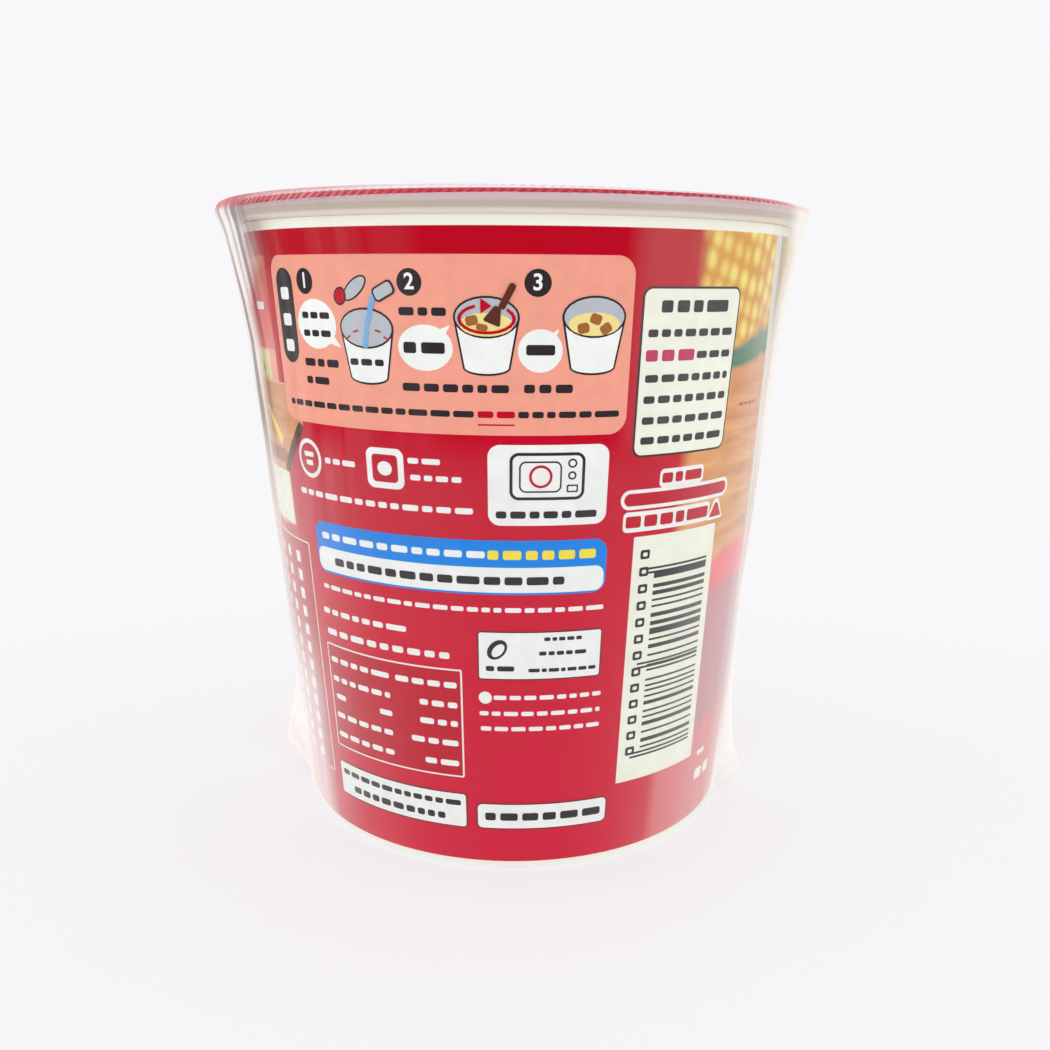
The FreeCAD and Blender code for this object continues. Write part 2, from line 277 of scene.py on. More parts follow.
    # Bare paper below and above the print.
    over_foot = add("MapRange", {"Value": height}, span=(1.1, 1.2))
    under_rim = add("MapRange", {"Value": height}, span=(88.15, 88.25, 1, 0))
    covered = add("Math", {0: over_foot, 1: under_rim}, operation="MULTIPLY")
    tone = add(
        "Mix", {MIX_SHARE: covered, MIX_FIRST: colour("F7F8EC"), MIX_SECOND: printed}, data_type="RGBA"
    ).outputs[MIX_RESULT]
    surface = add(
        "BsdfPrincipled",
        {"Base Color": tone, "Roughness": 0.5, "Specular IOR Level": 0.03, "Normal": paper_grain(add, place, 0.15)},
    )
    add("OutputMaterial", {"Surface": surface})
    return material


def lid_laminate():
    """Printed lid laminate: red ink over foil-backed paper, smooth, with a gentle wave from heat sealing."""
    material, add = new_material("printed_lid_laminate")
    place = add("TexCoord").outputs["Object"]
    waves = add("TexNoise", {"Vector": place, "Scale": 70, "Detail": 2})
    bump = add("Bump", {"Height": waves, "Strength": 0.35, "Distance": 0.0006})
    mottle = add("TexNoise", {"Vector": place, "Scale": 260, "Detail": 3})
    red = add(
        "Mix", {MIX_SHARE: mottle, MIX_FIRST: colour("BE062E"), MIX_SECOND: colour("C60A34")}, data_type="RGBA"
    ).outputs[MIX_RESULT]
    surface = add(
        "BsdfPrincipled", {"Base Color": red, "Roughness": 0.38, "Specular IOR Level": 0.15, "Normal": bump}
    )
    add("OutputMaterial", {"Surface": surface})
    return material


def shrink_film():
    """Polyolefin shrink film: clear and glossy where it is pulled tight, milky where it is gathered; its milk also
    carries painted reflections, painted shade and painted tints of what lies behind it.
    """
    material, add = new_material("clear_shrink_film")
    place = add("TexCoord").outputs["Object"]
    axes = add("SeparateXYZ", {0: place})
    toward = add("Math", {0: axes.outputs[1], 1: -1}, operation="MULTIPLY")
    angle = add("Math", {0: axes.outputs[0], 1: toward}, operation="ARCTAN2")
    degrees = add("Math", {0: angle, 1: 180 / math.pi}, operation="MULTIPLY")
    height = add("Math", {0: axes.outputs[2], 1: 1 / MM}, operation="MULTIPLY")
    along = add("Math", {0: angle, 1: SHEET_RADIUS}, operation="MULTIPLY")
    sheet = add("CombineXYZ", {0: along, 1: height})

    # Creases run up and down the film, about 2 mm apart and 30 mm long.
    creases = add("Mapping", {"Vector": sheet, "Rotation": (0, 0, 0.08), "Scale": (0.55, 0.035, 1)})
    creases = add("TexNoise", {"Vector": creases, "Scale": 1, "Detail": 3, "Distortion": 0.3})
    gather = add("TexNoise", {"Vector": sheet, "Scale": 0.09, "Detail": 2})

    # How milky the film is all round, from -90 to 90 degrees: it grows towards both gathered sides, most low down.
    # Part of it is the real haze of gathered film, and part a painted reflection of light on the film's sides,
    # strongest low at the left.
    around = add("MapRange", {"Value": degrees}, span=(-90, 90))
    upper = add("ValToRGB", {"Fac": around}, stops=[
        (0.0, 0.55), (0.056, 0.5), (0.111, 0.375), (0.167, 0.27), (0.222, 0.18), (0.333, 0.055), (0.472, 0.0),
        (0.556, 0.0), (0.667, 0.03), (0.778, 0.117), (0.833, 0.183), (0.889, 0.263), (0.944, 0.36), (1.0, 0.45),
    ])
    lower = add("ValToRGB", {"Fac": around}, stops=[
        (0.0, 0.86), (0.056, 0.8), (0.133, 0.7), (0.189, 0.63), (0.222, 0.26), (0.256, 0.19), (0.289, 0.12),
        (0.389, 0.03), (0.472, 0.0), (0.556, 0.0), (0.622, 0.04), (0.667, 0.1), (0.722, 0.2), (0.778, 0.28),
        (0.822, 0.26), (0.856, 0.41), (0.889, 0.7), (0.922, 0.86), (1.0, 0.9),
    ])
    # Low down the left side turns milky lower than the right side does.
    turn = add("MapRange", {"Value": degrees}, span=(-30, 30, 14, 0))
    turn = add("Math", {0: height, 1: turn}, operation="ADD")
    turn = add("MapRange", {"Value": turn}, span=(34, 50), interpolation_type="SMOOTHSTEP")
    milk_and_painted_reflection = add("Mix", {MIX_SHARE: turn, NUMBER_FIRST: lower, NUMBER_SECOND: upper}, data_type="FLOAT")
    behind = add("Math", {0: degrees}, operation="ABSOLUTE")
    behind = add("MapRange", {"Value": behind}, span=(96, 140, 1, 0.05))
    milk_and_painted_reflection = add("Math", {0: milk_and_painted_reflection, 1: behind}, operation="MULTIPLY")
    high = add("MapRange", {"Value": height}, span=(44, 62))
    folds = add("MapRange", {"Value": creases}, span=(0.35, 0.7, -0.3, 0.3))
    folded = add("MapRange", {"Value": high}, span=(0, 1, 0.2, 1))
    folds = add("Math", {0: folds, 1: folded}, operation="MULTIPLY")
    folds = add("Math", {0: folds, 1: 1}, operation="ADD")
    milk_and_painted_reflection = add("Math", {0: milk_and_painted_reflection, 1: folds}, operation="MULTIPLY")
    relief_share = milk_and_painted_reflection

    # Where the film bridges from rim to wall, it stands off the paper and is clear but for soft upright bands, which
    # are painted reflections where the film catches the light.
    bridge = add("MapRange", {"Value": height}, span=(56, 64), interpolation_type="SMOOTHSTEP")
    front = add("Math", {0: degrees, 1: 13}, operation="ADD")
    front = add("Math", {0: front}, operation="ABSOLUTE")
    front = add("MapRange", {"Value": front}, span=(53, 68, 1, 0))
    bridge = add("Math", {0: bridge, 1: front}, operation="MULTIPLY")
    lean = add("Math", {0: height, 1: 0.05, 2: degrees}, operation="MULTIPLY_ADD")
    lean = add("MapRange", {"Value": lean}, span=(-65.7, 44.3))
    bands = add("ValToRGB", {"Fac": lean}, stops=[
        (0.0, 0.2), (0.127, 0.19), (0.147, 0.1), (0.168, 0.07), (0.212, 0.055), (0.232, 0.006), (0.282, 0.003),
        (0.303, 0.02), (0.327, 0.032), (0.377, 0.028), (0.405, 0.005), (0.427, 0.015), (0.459, 0.016), (0.5, 0.0),
        (0.8, 0.0), (0.817, 0.03), (0.843, 0.06), (1.0, 0.08),
    ])
    milk_and_painted_reflection = add("Mix", {MIX_SHARE: bridge, NUMBER_FIRST: milk_and_painted_reflection, NUMBER_SECOND: bands}, data_type="FLOAT")

    # Past the wall's outline the film is gathered in both upper corners, and hides what is behind it.
    corner = add("Math", {0: degrees}, operation="ABSOLUTE")
    nearer = add("MapRange", {"Value": degrees}, span=(-10, 10, 0, -8))
    nearer = add("Math", {0: height, 1: nearer}, operation="ADD")
    nearer = add("MapRange", {"Value": nearer}, span=(78, 84, 0, 8))
    corner = add("Math", {0: corner, 1: nearer}, operation="ADD")
    corner = add("MapRange", {"Value": corner}, span=(57, 71, 0, 0.78), interpolation_type="SMOOTHSTEP")
    for share in (high, behind):
        corner = add("Math", {0: corner, 1: share}, operation="MULTIPLY")
    milk_and_painted_reflection = add("Math", {0: milk_and_painted_reflection, 1: corner}, operation="MAXIMUM")

    # Gathered film looks milkiest edge-on, where the eye looks along its folds.
    grazing = add("LayerWeight", {"Blend": 0.5}).outputs["Facing"]
    edge_on = add("MapRange", {"Value": grazing}, span=(0.2, 0.7, 0.35, 1))
    edge_on = add("Math", {0: edge_on, 1: bridge}, operation="MAXIMUM")
    milk_and_painted_reflection = add("Math", {0: milk_and_painted_reflection, 1: edge_on}, operation="MULTIPLY")

    # On its flat top and underside the film lies smooth and clear.
    flat = add("CombineXYZ", {0: axes.outputs[0], 1: axes.outputs[1]})
    distance = add("VectorMath", {0: flat}, operation="LENGTH").outputs["Value"]
    outward = add("MapRange", {"Value": distance}, span=(38 * MM, 42 * MM))
    drawn = add("MapRange", {"Value": height}, span=(90.6, 91.6, 1, 0))
    drawn = add("Math", {0: drawn, 1: outward}, operation="MAXIMUM")
    inner = add("MapRange", {"Value": distance}, span=(22 * MM, 33 * MM, 0.08, 1))
    drawn = add("Math", {0: drawn, 1: inner}, operation="MULTIPLY")
    milk_and_painted_reflection = add("Math", {0: milk_and_painted_reflection, 1: drawn}, operation="MULTIPLY")

    # Over the rim the film is drawn into fine slanted ridges, about 0.8 mm apart.
    slanted = add("Mapping", {"Vector": sheet, "Rotation": (0, 0, 0.7)})
    ridges = add("TexWave", {"Vector": slanted, "Scale": 0.39, "Distortion": 3, "Detail": 2, "Detail Scale": 0.6})
    rim = add("MapRange", {"Value": height}, span=(91.1, 91.8))
    rim = add("Math", {0: rim, 1: outward}, operation="MULTIPLY")
    gathered = add("Math", {0: degrees, 1: 62}, operation="ADD")
    gathered = add("Math", {0: gathered}, operation="ABSOLUTE")
    gathered = add("MapRange", {"Value": gathered}, span=(24, 44, 1, 0.3))
    right_rim = add("MapRange", {"Value": degrees}, span=(15, 40, 0, 0.7))
    right_rim = add("Math", {0: right_rim, 1: behind}, operation="MULTIPLY")
    gathered = add("Math", {0: gathered, 1: right_rim}, operation="MAXIMUM")
    rim = add("Math", {0: rim, 1: gathered}, operation="MULTIPLY")
    hatch = add("MapRange", {"Value": ridges}, span=(0.25, 0.85, 0.25, 0.8))
    hatch = add("Math", {0: hatch, 1: rim}, operation="MULTIPLY")
    milk_and_painted_reflection = add("Math", {0: milk_and_painted_reflection, 1: hatch}, operation="MAXIMUM")
    milk_and_painted_reflection = add("Math", {0: milk_and_painted_reflection, 1: 0.85}, operation="MINIMUM")

    clear = add("MapRange", {"Value": bridge}, span=(0, 1, 1, 0.03))
    # Gloss rises towards grazing, alike on both faces, because light has to leave the film as it came.
    shine = add("Math", {0: grazing, 1: 5}, operation="POWER")
    shine = add("Math", {0: shine, 1: 0.9, 2: 0.034}, operation="MULTIPLY_ADD")
    shine = add("Math", {0: shine, 1: clear}, operation="MULTIPLY")

    # The milk is creamy low down. In the upper left corner it is pulled into long white streaks with grey between
    # them: the grey is painted shade in its folds.
    pulls = add("Mapping", {"Vector": sheet, "Rotation": (0, 0, 0.05), "Scale": (0.42, 0.022, 1)})
    pulls = add("TexNoise", {"Vector": pulls, "Scale": 1, "Detail": 1.5, "Distortion": 0.2})
    painted_fold_shade = add("MapRange", {"Value": pulls}, span=(0.4, 0.52, 0.85, 0))
    left = add("MapRange", {"Value": degrees}, span=(-45, 60, 1, 0.12))
    for share in (left, high, behind):
        painted_fold_shade = add("Math", {0: painted_fold_shade, 1: share}, operation="MULTIPLY")
    cream_with_painted_light = add(
        "Mix", {MIX_SHARE: painted_fold_shade, MIX_FIRST: colour("FFFCF9"), MIX_SECOND: colour("8F8C8E")}, data_type="RGBA"
    ).outputs[MIX_RESULT]
    # At the upper right it is painted a little yellower, as painted light from the yellow picture seen through it,
    # and over the rim it is painted pink, as painted light from the lid's red edge beneath.
    # These tints fade out behind, where the two sides meet.
    painted_yellow_light = add("MapRange", {"Value": degrees}, span=(66, 84))
    for share in (high, behind):
        painted_yellow_light = add("Math", {0: painted_yellow_light, 1: share}, operation="MULTIPLY")
    cream_with_painted_light = add(
        "Mix", {MIX_SHARE: painted_yellow_light, MIX_FIRST: cream_with_painted_light, MIX_SECOND: colour("FFF9D8")}, data_type="RGBA"
    ).outputs[MIX_RESULT]
    painted_lid_pink = add("MapRange", {"Value": height}, span=(90.9, 91.9, 0, 0.85), interpolation_type="SMOOTHSTEP")
    pale_end = add("MapRange", {"Value": degrees}, span=(45, 75, 0, -0.8))
    pale_end = add("Math", {0: pale_end, 1: behind, 2: 1}, operation="MULTIPLY_ADD")
    painted_lid_pink = add("Math", {0: painted_lid_pink, 1: pale_end}, operation="MULTIPLY")
    cream_with_painted_light = add(
        "Mix", {MIX_SHARE: painted_lid_pink, MIX_FIRST: cream_with_painted_light, MIX_SECOND: colour("E5808B")}, data_type="RGBA"
    ).outputs[MIX_RESULT]

    relief = add("Math", {0: creases, 1: gather}, operation="ADD")
    strength = add("MapRange", {"Value": high}, span=(0, 1, 0.15, 1.4))
    for share in (relief_share, drawn):
        strength = add("Math", {0: strength, 1: share}, operation="MULTIPLY")
    bump = add("Bump", {"Height": relief, "Strength": strength, "Distance": 0.0004})
    through = add("BsdfTransparent")
    gloss = add("BsdfGlossy", {"Roughness": 0.12, "Normal": bump})
    clean = add("MixShader", {0: shine, 1: through, 2: gloss})
    cloud = add("BsdfDiffuse", {"Color": cream_with_painted_light, "Normal": bump})
    surface = add("MixShader", {0: milk_and_painted_reflection, 1: clean, 2: cloud})
    add("OutputMaterial", {"Surface": surface})
    return material


INKS = {
    "white": "F3F6F3",
    "ivory": "F1F4E4",
    "salmon": "F3A38E",
    "black": "322A2E",
    "red": "C20729",
    "rose": "C2275F",
    "blue": "0087E8",
    "yellow": "F7E24A",
    "grey": "B9BFC6",
    "sky": "7FB2DE",
    "soup": "F2E294",
    "crust": "A5673C",
    "brown": "5F3027",
    "leaf": "6F8B56",
}


# ---------------------------------------------------------------- print, as slabs of ink

def make_disc(corners):
    """The slab that every ink shape starts from: a round plate 1 across each way from its middle."""
    bpy.ops.mesh.primitive_circle_add(vertices=corners, radius=1, fill_type="NGON", location=(0, 0, -0.5))
    disc = bpy.context.object
    bpy.ops.object.mode_set(mode="EDIT")
    bpy.ops.mesh.select_all(action="SELECT")
    bpy.ops.mesh.extrude_region_move(TRANSFORM_OT_translate={"value": (0, 0, 1)})
    bpy.ops.mesh.select_all(action="SELECT")
    bpy.ops.mesh.normals_make_consistent(inside=False)
    bpy.ops.object.mode_set(mode="OBJECT")
    half_step = Matrix.Rotation(FULL_TURN / corners / 2, 4, "Z")
    disc.data.transform(half_step @ Matrix.Translation(disc.location))
    disc.location = (0, 0, 0)
    disc.name = "ink_disc"
    return disc


DISC = make_disc(24)
WIDE_DISC = make_disc(96)
sleeve_shapes = {ink: [] for ink in INKS}
lid_shapes = {ink: [] for ink in INKS}


def keep_shape(store, ink, mesh):
    shape = bpy.data.objects.new(f"shape_{ink}", mesh)
    bpy.context.collection.objects.link(shape)
    store[ink].append(shape)


def shaped_slab(layer, wide, high, corner, taper, turn):
    """A slab of ink in millimetres round its middle: an ellipse, or a plate if it has a corner radius.
    taper is how wide its top is against its foot, and turn is in degrees."""
    mesh = (WIDE_DISC if corner is None and wide > 12 else DISC).data.copy()
    spin = Matrix.Rotation(math.radians(turn), 2)
    for point in mesh.vertices:
        across, up = point.co.x, point.co.y
        if corner is None:
            across, up = across * wide / 2, up * high / 2
        else:
            across = across * corner + math.copysign(wide / 2 - corner, across)
            up = up * corner + math.copysign(high / 2 - corner, up)
        across *= 1 + (taper - 1) * (up / high + 0.5)
        across, up = spin @ Vector((across, up))
        depth = layer * INK_STEP if point.co.z > 0 else -INK_STEP
        point.co = (across, up, depth)
    return mesh


def ink_shape(ink, layer, angle, height, wide, high, corner=None, taper=1.0, turn=0.0):
    """Lays a slab of ink on the flat sheet, at an angle and height on the sleeve."""
    mesh = shaped_slab(layer, wide, high, corner, taper, turn)
    narrow = SHEET_RADIUS / wall_radius(height)
    for point in mesh.vertices:
        point.co.x = math.radians(angle) * SHEET_RADIUS + point.co.x * narrow
        point.co.y += height
    keep_shape(sleeve_shapes, ink, mesh)


def ink_panel(ink, layer, left, right, low, high, corner):
    """A panel between two angles and two heights."""
    middle = (low + high) / 2
    wide = math.radians(right - left) * wall_radius(middle)
    ink_shape(ink, layer, (left + right) / 2, middle, wide, high - low, corner)


def framed_panel(ink, layer, left, right, low, high, corner, line, line_ink="black"):
    """A panel with a printed outline of another ink."""
    edge = math.degrees(line / wall_radius(low))
    ink_panel(line_ink, layer, left, right, low, high, corner)
    ink_panel(ink, layer + 1, left + edge, right - edge, low + line, high - line, max(0.1, corner - line))


def ink_numeral(ink, layer, text, angle, height, high):
    """A plain step number."""
    bpy.ops.object.text_add(location=(0, 0, 0))
    bpy.context.object.data.body = text
    bpy.context.object.data.align_x = "CENTER"
    bpy.context.object.data.align_y = "CENTER"
    bpy.context.object.data.extrude = 0.5
    bpy.context.object.data.offset = 0.02
    bpy.ops.object.convert(target="MESH")
    numeral = bpy.context.object
    narrow = SHEET_RADIUS / wall_radius(height)
    size = high / 0.7
    for point in numeral.data.vertices:
        depth = layer * INK_STEP if point.co.z > 0 else -INK_STEP
        across = math.radians(angle) * SHEET_RADIUS + point.co.x * size * narrow
        point.co = (across, height + point.co.y * size, depth)
    sleeve_shapes[ink].append(numeral)


dash_lengths = random.Random(11)


def ink_dashes(ink, layer, left, right, low, high, weight=0.68, longest=1.5):
    """A row of dashes where a line of words would be. weight is a dash's height against the line's."""
    middle = (low + high) / 2
    radius = wall_radius(middle)
    line = high - low
    thick = line * weight
    start = math.radians(left) * radius
    end = math.radians(right) * radius
    gap = line * 0.26
    while start < end - thick:
        length = min(line * dash_lengths.uniform(0.6, longest), end - start)
        if end - start - length < thick + gap:
            length = end - start
        angle = math.degrees((start + length / 2) / radius)
        ink_shape(ink, layer, angle, middle, length, thick, min(0.32, thick * 0.35))
        start += length + gap


def outlined_dashes(left, right, low, high):
    """Red dashes on a white ground that follows them."""
    ink_panel("white", 1, left - 0.6, right + 0.6, low - 0.1, high + 0.1, 0.7)
    ink_dashes("red", 2, left, right, low + 0.25, high - 0.25, 0.76, 1.2)


def little_cup(angle, rim, soup):
    """A small drawing of a paper cup 7 mm tall: tapered body, round foot, open rim, and soup if it has some."""
    tall = 6.1
    ink_shape("black", 2, angle, rim - tall, 5.95, 2.0)
    ink_shape("black", 2, angle, rim - tall / 2, 5.95, tall, 0.05, 1.37)
    ink_shape("white", 3, angle, rim - tall + 0.02, 5.45, 1.5)
    ink_shape("white", 3, angle, rim - tall / 2, 5.45, tall, 0.05, 1.4)
    ink_shape("black", 4, angle, rim, 8.15, 5.1)
    ink_shape("grey", 5, angle, rim, 7.65, 4.6)
    if soup:
        ink_shape("soup", 6, angle, rim - 0.87, 6.6, 2.85)


def print_steps():
    """The salmon panel with three numbered steps."""
    ink_panel("salmon", 1, -54, 21, 62.95, 84.92, 2.4)
    ink_panel("black", 2, -52.2, -46.4, 70.9, 83.3, 2.0)
    for height in (80, 76.6, 73.2):
        ink_shape("white", 3, -49.3, height, 2.0, 1.6, 0.35)
    for number, angle in (("1", -42.4), ("2", -18.75), ("3", 3.7)):
        ink_shape("black", 2, angle, 81.6, 3.3, 3.3)
        ink_numeral("white", 3, number, angle, 81.6, 1.9)

    # The rounded balloons and their lines.
    for angle, height, wide, high, tail, tail_turn in (
        (-40.2, 76.2, 7.5, 6.4, (-35.5, 74.0), -123),
        (-16.3, 73.7, 7.2, 5.7, (-12.9, 75.7), -50),
        (4.3, 73.5, 5.5, 5.3, (6.4, 75.2), -40),
    ):
        ink_shape("white", 2, angle, height, wide, high)
        ink_shape("white", 2, *tail, 1.7, 2.3, 0.08, 0.06, tail_turn)
    ink_dashes("black", 3, -44.0, -36.4, 76.5, 78.1, 0.52, 1.1)
    ink_dashes("black", 3, -44.0, -36.4, 74.2, 75.8, 0.52, 1.1)
    ink_dashes("black", 3, -20.4, -12.6, 72.4, 75.0, 0.53, 0.9)
    ink_dashes("black", 3, 1.8, 6.9, 72.4, 74.8, 0.53, 0.9)
    for left, right, low, high in (
        (-44.6, -35.1, 70.2, 72.2),
        (-44.6, -38.0, 67.9, 69.8),
        (-21.0, -12.2, 77.1, 79.1),
        (-21.0, -1.2, 67.8, 69.8),
        (1.5, 10.3, 67.8, 69.9),
    ):
        ink_dashes("black", 2, left, right, low, high, 0.5, 1.2)
    ink_dashes("black", 2, -51.5, -7.6, 64.8, 66.4, 0.5, 1.6)
    ink_dashes("red", 2, -6.9, -0.1, 64.8, 66.4, 0.52, 1.5)
    ink_shape("red", 2, -3.5, 64.3, 4.6, 0.2, 0.08)
    ink_dashes("black", 2, 0.5, 19.4, 64.8, 66.4, 0.5, 1.6)

    # Step 1: the lid peeled off, and water poured in up to a dashed line.
    little_cup(-28.0, 75.9, False)
    ink_shape("black", 2, -29.9, 80.8, 4.5, 2.1, None, 1.0, 38)
    ink_shape("grey", 3, -29.9, 80.8, 4.05, 1.65, None, 1.0, 38)
    ink_shape("black", 4, -33.3, 79.8, 2.0, 2.3, None, 1.0, -20)
    ink_shape("red", 5, -33.3, 79.8, 1.6, 1.9, None, 1.0, -20)
    for angle, height, turn in ((-32.0, 74.7, 32), (-30.2, 75.5, 14), (-25.4, 75.6, -14), (-23.7, 74.7, -32)):
        ink_shape("red", 6, angle, height, 0.9, 0.22, 0.08, 1.0, turn)
    ink_shape("sky", 7, -27.85, 75.2, 0.75, 3.6, 0.3, 0.9, -11)
    ink_shape("sky", 7, -26.6, 78.4, 0.8, 3.7, 0.3, 0.9, -17)
    ink_shape("black", 8, -23.8, 80.5, 3.1, 1.9, 0.6, 1.0, 27)
    ink_shape("grey", 9, -23.8, 80.5, 2.65, 1.45, 0.45, 1.0, 27)
    ink_dashes("black", 4, -32.0, -24.6, 70.8, 72.5, 0.49, 1.0)
    # Step 2: the soup is stirred, with a curved arrow round it.
    little_cup(-5.15, 77.5, True)
    ink_shape("crust", 8, -7.7, 77.1, 1.5, 1.2, 0.4, 1.0, 12)
    ink_shape("crust", 8, -5.9, 76.3, 1.4, 0.8, 0.3, 1.0, -10)
    reach, flatness, middle, height = 3.3, 0.5, -5.1, 77.3
    for step in range(17):
        turn = math.radians(125 + step * 16.5)
        across, up = reach * math.cos(turn), reach * flatness * math.sin(turn)
        lean = math.degrees(math.atan2(flatness * math.cos(turn), -math.sin(turn)))
        spot = (middle + math.degrees(across / wall_radius(77)), height + up)
        ink_shape("red", 9, *spot, 1.15, 0.36, 0.15, 1.0, lean)
    ink_shape("red", 9, -5.2, 78.85, 1.8, 1.3, 0.08, 0.06, -90)
    ink_shape("brown", 10, -1.5, 80.0, 0.85, 3.4, 0.4, 1.0, -28)
    ink_shape("brown", 10, -3.7, 77.75, 2.3, 2.2, 0.35, 0.35, -22)
    # Step 3: the soup is ready, with cubes of toast.
    little_cup(13.8, 77.6, True)
    for angle, height, turn in ((11.8, 76.25, 10), (14.0, 77.35, -20), (15.9, 76.2, 35)):
        ink_shape("crust", 8, angle, height, 1.45, 1.25, 0.4, 1.0, turn)


def print_marks():
    """The row of plain marks and lines under the steps, with a small oven picture."""
    ink_shape("white", 1, -47, 57.9, 5.5, 5.5)
    ink_shape("red", 2, -47, 57.9, 4.3, 4.3)
    ink_shape("white", 3, -47, 58.5, 2.2, 0.7, 0.2)
    ink_shape("white", 3, -47, 57.3, 1.6, 0.7, 0.2)
    ink_dashes("white", 1, -41.7, -33.2, 57.1, 59.0, 0.41, 1.1)
    ink_panel("white", 1, -30.2, -21.8, 55.3, 60.7, 1.1)
    ink_panel("red", 2, -28.9, -23.1, 56.15, 59.85, 0.6)
    ink_shape("white", 3, -26, 58, 2.2, 1.9)
    ink_dashes("white", 1, -20.9, -14.3, 58.4, 60.2, 0.41, 1.1)
    ink_dashes("white", 1, -20.5, -10.2, 56.2, 58.0, 0.41, 1.1)
    ink_dashes("white", 1, -52.0, -8.1, 52.0, 54.0, 0.4, 1.3)

    ink_panel("white", 1, -5.2, 18.0, 51.2, 61.8, 1.6)
    framed_panel("white", 2, -1.1, 13.3, 54.6, 60.8, 1.2, 0.4)
    framed_panel("white", 4, 0.7, 8.8, 55.6, 59.7, 0.9, 0.22)
    for height, size in ((59.4, 1.2), (57.8, 1.1)):
        ink_shape("black", 4, 10.8, height, size, size)
        ink_shape("white", 5, 10.8, height, size - 0.45, size - 0.45)
    ink_panel("black", 4, 9.8, 12.0, 55.6, 56.6, 0.15)
    ink_panel("white", 5, 10.1, 11.7, 55.8, 56.4, 0.1)
    ink_shape("red", 6, 4.8, 57.7, 3.0, 3.0)
    ink_shape("white", 7, 4.8, 57.7, 2.3, 2.3)
    ink_dashes("black", 2, -3.7, 16.0, 51.7, 53.6, 0.5, 1.2)


def print_contents():
    """The blue and white panel, the lines under it, and the table of values."""
    ink_panel("blue", 1, -47.7, 18.7, 41.7, 49.2, 1.9)
    ink_panel("white", 2, -47.25, 18.25, 42.0, 45.5, 1.3)
    ink_dashes("white", 2, -45.3, -5.9, 46.1, 48.3, 0.43, 1.2)
    ink_dashes("yellow", 2, -5.4, 16.3, 46.1, 48.3, 0.57, 1.1)
    ink_dashes("black", 3, -41.7, 10.0, 42.6, 44.7, 0.53, 1.5)
    ink_dashes("white", 1, -46.8, 18.6, 38.7, 40.4, 0.38, 1.3)
    ink_dashes("white", 1, -48.0, -23.5, 34.7, 36.8, 0.39, 1.0)
    ink_dashes("white", 1, -47.3, -13.8, 31.4, 33.8, 0.39, 1.1)

    framed_panel("red", 1, -48.3, -11.2, 14.3, 30.7, 0.3, 0.24, "white")
    for height, first, value in (
        (28.3, -47.0, -27.0),
        (25.3, -47.0, -21.2),
        (22.5, -47.0, -21.3),
        (19.5, -47.0, -23.7),
        (16.4, -47.0, -20.5),
    ):
        low, high = height - 1.05, height + 1.05
        if height == 22.5:
            ink_dashes("white", 3, -46.5, -43.0, low, high, 0.39, 1.0)
            ink_dashes("white", 3, -32.0, -28.5, low, high, 0.39, 1.0)
        else:
            ink_dashes("white", 3, first, -28.7, low, high, 0.39, 1.0)
        ink_dashes("white", 3, value, -12.4, low, high, 0.41, 1.0)

    framed_panel("white", 1, -7.7, 18.7, 29.5, 36.5, 0.5, 0.16)
    ink_shape("black", 3, -3.6, 33.9, 3.2, 2.3, None, 1.0, 50)
    ink_shape("white", 4, -3.4, 33.8, 2.2, 1.3, None, 1.0, 50)
    ink_dashes("black", 3, -6.0, 0.0, 30.4, 31.9, 0.49, 1.0)
    ink_dashes("black", 3, 6.2, 14.2, 34.9, 35.9, 0.52, 1.0)
    ink_dashes("black", 3, 5.2, 15.3, 32.8, 33.9, 0.52, 1.0)
    ink_dashes("black", 3, 3.0, 17.6, 30.4, 31.4, 0.52, 1.7)
    ink_shape("white", 1, -6.2, 26.8, 1.8, 1.8)
    ink_dashes("white", 1, -4.4, 19.2, 26.0, 27.7, 0.37, 1.2)
    ink_dashes("white", 1, -7.5, 19.2, 23.6, 25.3, 0.37, 1.2)
    ink_dashes("white", 1, -7.3, 19.2, 21.3, 23.0, 0.37, 1.2)

    framed_panel("white", 1, -48.5, -10.8, 6.3, 11.8, 0.6, 0.16)
    ink_dashes("black", 3, -47.0, -12.3, 9.4, 11.0, 0.52, 1.2)
    ink_dashes("black", 3, -43.2, -16.2, 7.0, 8.8, 0.56, 1.0)
    framed_panel("white", 1, -8.6, 22.5, 6.4, 10.5, 0.9, 0.16)
    ink_dashes("black", 3, -6.6, 20.8, 7.2, 9.6, 0.5, 1.2)


